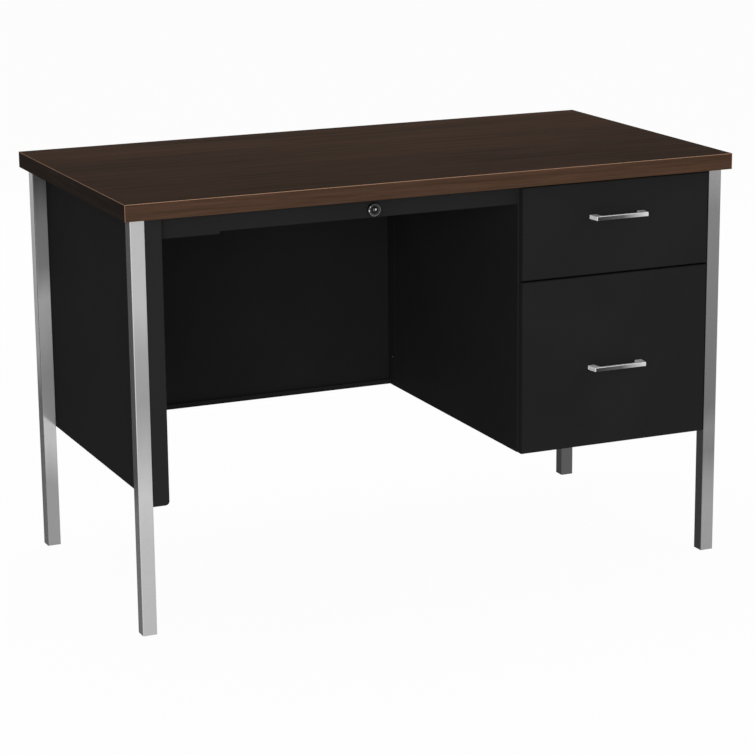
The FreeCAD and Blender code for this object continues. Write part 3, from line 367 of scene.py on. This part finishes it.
@finish("leg_chrome")
def leg_chrome(shader):
    """Satin chrome tube with draw lines, and painted reflections: bands of tone up its length,
    duller sides and lines along its arrises.
    """
    lines = shader.noise((1900.0, 1900.0, 7.0), 3.0, 0.6)
    reflection_bands = shader.noise((60.0, 60.0, 3.2), 2.0)
    smudge = shader.noise((14.0, 14.0, 9.0), 3.0, shift=(0.4, 0.7, 0.1))
    # the painted reflection bands wobble a little up the leg
    height = shader.along("Z") / LEG_HEIGHT + reflection_bands * 0.06 - 0.03
    rear = shader.along("Y") > 0.0
    right = shader.along("X") > 0.0
    toward_sitter = shader.turned("Y", -1)
    toward_left = shader.turned("X", -1)
    behind_panel = rear * toward_sitter * (1 - right)
    # painted reflections: each leg's front and left side take their own greys up its height
    painted_face_reflection = shader.grey_ramp(height, *LEG_FRONT_PAINTED_REFLECTION)
    painted_face_reflection = shader.mix(behind_panel, painted_face_reflection, shader.grey_ramp(height, *REAR_LEFT_LEG_FRONT_PAINTED_REFLECTION))
    painted_face_reflection = shader.mix(right * toward_sitter, painted_face_reflection, shader.grey_ramp(height, *RIGHT_LEG_FRONT_PAINTED_REFLECTION))
    painted_face_reflection = shader.mix(rear * right * toward_sitter, painted_face_reflection, REAR_RIGHT_FRONT_PAINTED_REFLECTION)
    side = shader.grey_ramp(height, *LEG_SIDE_PAINTED_REFLECTION)
    side = shader.mix(rear, side, shader.grey_ramp(height, *REAR_LEG_SIDE_PAINTED_REFLECTION))
    side = shader.mix(right, side, shader.mix(rear, RIGHT_SIDES_PAINTED_REFLECTION["front"], RIGHT_SIDES_PAINTED_REFLECTION["rear"]))
    colour = shader.mix(toward_left, painted_face_reflection, side)
    # painted reflection: a light line on the front left leg's arris and a dark one on the rear
    # left leg's
    painted_arris_line = shader.turned("X", -1, 0.25) * shader.turned("Y", -1, 0.25) * (1 - right)
    colour = shader.mix(painted_arris_line, colour, shader.mix(rear, ARRIS_PAINTED_REFLECTIONS["front"], ARRIS_PAINTED_REFLECTIONS["rear"]))
    rough = lines * 0.06 + smudge * 0.05 + 0.07
    return principled(shader, Base_Color=colour, Metallic=0.75 - behind_panel * 0.25,
                      Roughness=rough, Normal=shader.bump(lines, 0.000012),
                      Specular_Tint=GRAZING_TINT, Specular_IOR_Level=0.0)


pull_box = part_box("box_pull")
PULL_MIDDLE = (pull_box[0].x + pull_box[1].x) / 2
PULL_SPAN = 0.11
# painted reflection: greys along the bracket's face, dark at its left and light at its right
PULL_FACE_PAINTED_REFLECTION = (0.08, 60), (0.5, 92), (0.74, 170), (0.95, 214)


@finish("pull_chrome")
def pull_chrome(shader):
    """Chrome bracket: a painted reflection dark to light along its face, and tops, ends and feet
    made mostly non-metallic so their pale colour shows as a painted highlight.
    """
    haze = shader.noise((70.0, 70.0, 70.0), 2.0)
    patch = shader.noise((30.0, 40.0, 90.0), 2.0, 0.45)
    colour = shader.grey_ramp(patch, (0.38, 232), (0.6, 250))
    across = (shader.along("X") - PULL_MIDDLE) / PULL_SPAN + 0.5
    painted_face_reflection = shader.grey_ramp(across, *PULL_FACE_PAINTED_REFLECTION)
    colour = shader.mix(shader.turned("Y", -1, 0.9), colour, painted_face_reflection)
    # painted highlight: faces turned up or to the left lose most of their metal, so their pale
    # colour shows bright
    painted_highlight_faces = (shader.turned("Z", 1) + shader.turned("X", -1)).clamp()
    return principled(shader, Base_Color=colour, Metallic=0.95 - painted_highlight_faces * 0.8,
                      Roughness=haze * 0.06 + 0.06)


lock_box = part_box("lock_housing")
LOCK_X = (lock_box[0].x + lock_box[1].x) / 2
LOCK_Z = (lock_box[0].z + lock_box[1].z) / 2
LOCK_RADIUS = (lock_box[1].x - lock_box[0].x) / 2
# painted reflection and shade in screen greys from the lock's middle out to its rim, and painted
# glints: side, rise and radius
LOCK_PAINTED_REFLECTION_RINGS = ((0.0, 140), (0.2, 110), (0.3, 26), (0.54, 30), (0.66, 112), (0.84, 122),
              (0.92, 62), (1.0, 54))
LOCK_PAINTED_GLINTS = (-0.62, 0.4, 0.14), (-0.76, -0.08, 0.17), (0.16, 0.06, 0.12)


@finish("lock_chrome")
def lock_chrome(shader):
    """Polished chrome with the dark rail painted in rings as a reflection, painted darker towards
    its top, and a few painted glints.
    """
    side = (shader.along("X") - LOCK_X) / LOCK_RADIUS
    rise = (shader.along("Z") - LOCK_Z) / LOCK_RADIUS
    colour = shader.grey_ramp((side * side + rise * rise) ** 0.5, *LOCK_PAINTED_REFLECTION_RINGS)
    # painted shade: the lock darkens towards its top
    colour = shader.mix(rise.clamp() * 0.8, colour, tone(16))
    # painted glints: small bright spots
    for glint_side, glint_rise, radius in LOCK_PAINTED_GLINTS:
        off_side = side - glint_side
        off_rise = rise - glint_rise
        painted_glint = off_side * off_side + off_rise * off_rise < radius * radius
        colour = shader.mix(painted_glint, colour, tone(236))
    haze = shader.noise((70.0, 70.0, 70.0), 2.0)
    return principled(shader, Base_Color=colour, Metallic=1.0, Roughness=haze * 0.06 + 0.1)


def zinc(shader, grey, rough):
    """Zinc plate: spangled tone and a slightly rough, brushed gloss."""
    grain = shader.noise((240.0, 26.0, 240.0), 3.0)
    spangle = shader.node("ShaderNodeTexVoronoi", {"feature": "F1"},
                          shader.stretched((90.0, 90.0, 90.0)))
    colour = shader.ramp(spangle * 0.4 + grain * 0.6, (0.2, tone(grey - 16, 0.02)),
                         (0.8, tone(grey + 12, -0.01)))
    return principled(shader, Base_Color=colour, Metallic=1.0, Roughness=grain * 0.15 + rough)


@finish("slide_zinc")
def slide_zinc(shader):
    return zinc(shader, 190, 0.24)


@finish("lock_zinc")
def lock_zinc(shader):
    return zinc(shader, 175, 0.3)


@finish("screw_zinc")
def screw_zinc(shader):
    return zinc(shader, 168, 0.3)


@finish("glide_steel")
def glide_steel(shader):
    return zinc(shader, 180, 0.28)


# ---------------------------------------------------------------- plastic and rubber
@finish("black_nylon")
def black_nylon(shader):
    mottle = shader.noise((500.0, 500.0, 500.0), 2.0)
    colour = shader.grey_ramp(mottle, (0.3, 24), (0.7, 31))
    return principled(shader, Base_Color=colour, Roughness=0.55,
                      Normal=shader.bump(mottle, 0.00003))


@finish("bumper_rubber")
def bumper_rubber(shader):
    dust = shader.noise((320.0, 320.0, 320.0), 3.0)
    colour = shader.grey_ramp(dust, (0.3, 30), (0.7, 40))
    return principled(shader, Base_Color=colour, Roughness=0.85)


# ---------------------------------------------------------------- finishes on the CAD nodes
finish_of_slot = {
    "top_laminate": "worktop_laminate",
    "edge_laminate_long": "long_edge_laminate",
    "edge_laminate_short": "short_edge_laminate",
    "particle_board": "particle_board",
    "backer_sheet": "backer_paper",
    "leg_chrome": "leg_chrome",
    "black_nylon": "black_nylon",
    "glide_steel": "glide_steel",
    "black_panel": "black_panel",
    "black_rail": "black_rail",
    "black_front": "black_front",
    "black_inside": "black_inside",
    "bare_steel": "primer",
    "slide_zinc": "slide_zinc",
    "lock_zinc": "lock_zinc",
    "screw_zinc": "screw_zinc",
    "pull_chrome": "pull_chrome",
    "lock_chrome": "lock_chrome",
    "bumper_rubber": "bumper_rubber",
}
for subpart in frame["record"]["subparts"]:
    mesh = nodes[subpart["node"]].data
    mesh.materials.clear()
    mesh.materials.append(finishes[finish_of_slot[subpart["material_slot"]]])


# ---------------------------------------------------------------- floor and studio
FLOOR_HALF = 14.0
FLOOR_GREY = (0.82, 0.82, 0.82)
FLOOR_GLOW_SEEN = 0.965  # share of plain white that the camera sees in the floor
FLOOR_GLOW_MIRRORED = 0.9  # and that the metals see in it
AMBIENT = 0.43  # the world's light on the desk, white being 1


def plain_floor():
    """Pale floor, white to the camera and the metals, with the desk's shadow kept faint."""
    half = FLOOR_HALF
    mesh = bpy.data.meshes.new("floor")
    mesh.from_pydata([(-half, -half, 0), (half, -half, 0), (half, half, 0), (-half, half, 0)],
                     [], [(0, 1, 2, 3)])
    floor = bpy.data.objects.new("floor", mesh)
    bpy.context.scene.collection.objects.link(floor)
    material = bpy.data.materials.new("floor")
    material.use_nodes = True
    shader = Shader(material.node_tree)
    path = shader.node("ShaderNodeLightPath")
    share = (path.out("Is Camera Ray") * FLOOR_GLOW_SEEN
             + path.out("Is Glossy Ray") * FLOOR_GLOW_MIRRORED).clamp()
    matt = shader.node("ShaderNodeBsdfDiffuse", {}, Color=FLOOR_GREY)
    glow = shader.node("ShaderNodeEmission", {}, Color=WHITE, Strength=1.0)
    surface = shader.node("ShaderNodeMixShader", {}, share, matt, glow)
    shader.node("ShaderNodeOutputMaterial", {}, Surface=surface)
    mesh.materials.append(material)


def studio_world():
    """White to the camera and to reflections, a plain grey level to everything else."""
    world = bpy.data.worlds.new("studio")
    bpy.context.scene.world = world
    world.use_nodes = True
    shader = Shader(world.node_tree)
    path = shader.node("ShaderNodeLightPath")
    seen = (path.out("Is Camera Ray") + path.out("Is Glossy Ray")
            + path.out("Is Transmission Ray")).clamp()
    strength = seen * (1 - AMBIENT) + AMBIENT
    light = shader.node("ShaderNodeBackground", {}, Color=WHITE, Strength=strength)
    shader.node("ShaderNodeOutputWorld", {}, Surface=light)


def softbox(name, place, aim, size, power):
    """Rectangular lamp turned to a point, hidden from reflections; metres and watts."""
    lamp = bpy.data.lights.new(name, "AREA")
    lamp.shape = "RECTANGLE"
    lamp.size, lamp.size_y = size
    lamp.energy = power
    holder = bpy.data.objects.new(name, lamp)
    holder.location = place
    holder.rotation_euler = (Vector(aim) - Vector(place)).to_track_quat("-Z", "Y").to_euler()
    holder.visible_glossy = False
    bpy.context.scene.collection.objects.link(holder)


plain_floor()
studio_world()
softbox("key", place=(-2.0, -4.1, 1.2), aim=(0, 0, 0.4), size=(2.8, 1.6), power=104)
softbox("fill", place=(3.2, -2.8, 1.6), aim=(0, 0, 0.4), size=(2.4, 1.8), power=26)
softbox("top", place=(-0.1, 0.8, 3.2), aim=(0, 0.1, 0.7), size=(2.6, 2.0), power=27)
softbox("back", place=(0.8, 3.6, 1.8), aim=(0, 0, 0.4), size=(2.6, 1.8), power=34)


# ---------------------------------------------------------------- camera
CAMERA_PLACE = (-1.869, -4.247, 1.502)
CAMERA_YAW = 23.83  # degrees to the right of +Y
CAMERA_PITCH = -14.21
CAMERA_ROLL = -0.53
CAMERA_LENS = 122.8  # mm, on a sensor as wide as the next line says
SENSOR_WIDTH = 36.0

camera_data = bpy.data.cameras.new("camera")
camera_data.lens = CAMERA_LENS
camera_data.sensor_width = SENSOR_WIDTH
camera = bpy.data.objects.new("camera", camera_data)
camera.location = CAMERA_PLACE
turn = Matrix.Rotation(-math.radians(CAMERA_YAW), 3, "Z")
tilt = Matrix.Rotation(math.radians(90 + CAMERA_PITCH), 3, "X")
roll = Matrix.Rotation(math.radians(CAMERA_ROLL), 3, "Z")
camera.rotation_euler = (turn @ tilt @ roll).to_euler()
bpy.context.scene.collection.objects.link(camera)
bpy.context.scene.camera = camera
bpy.context.scene.view_settings.view_transform = "Standard"
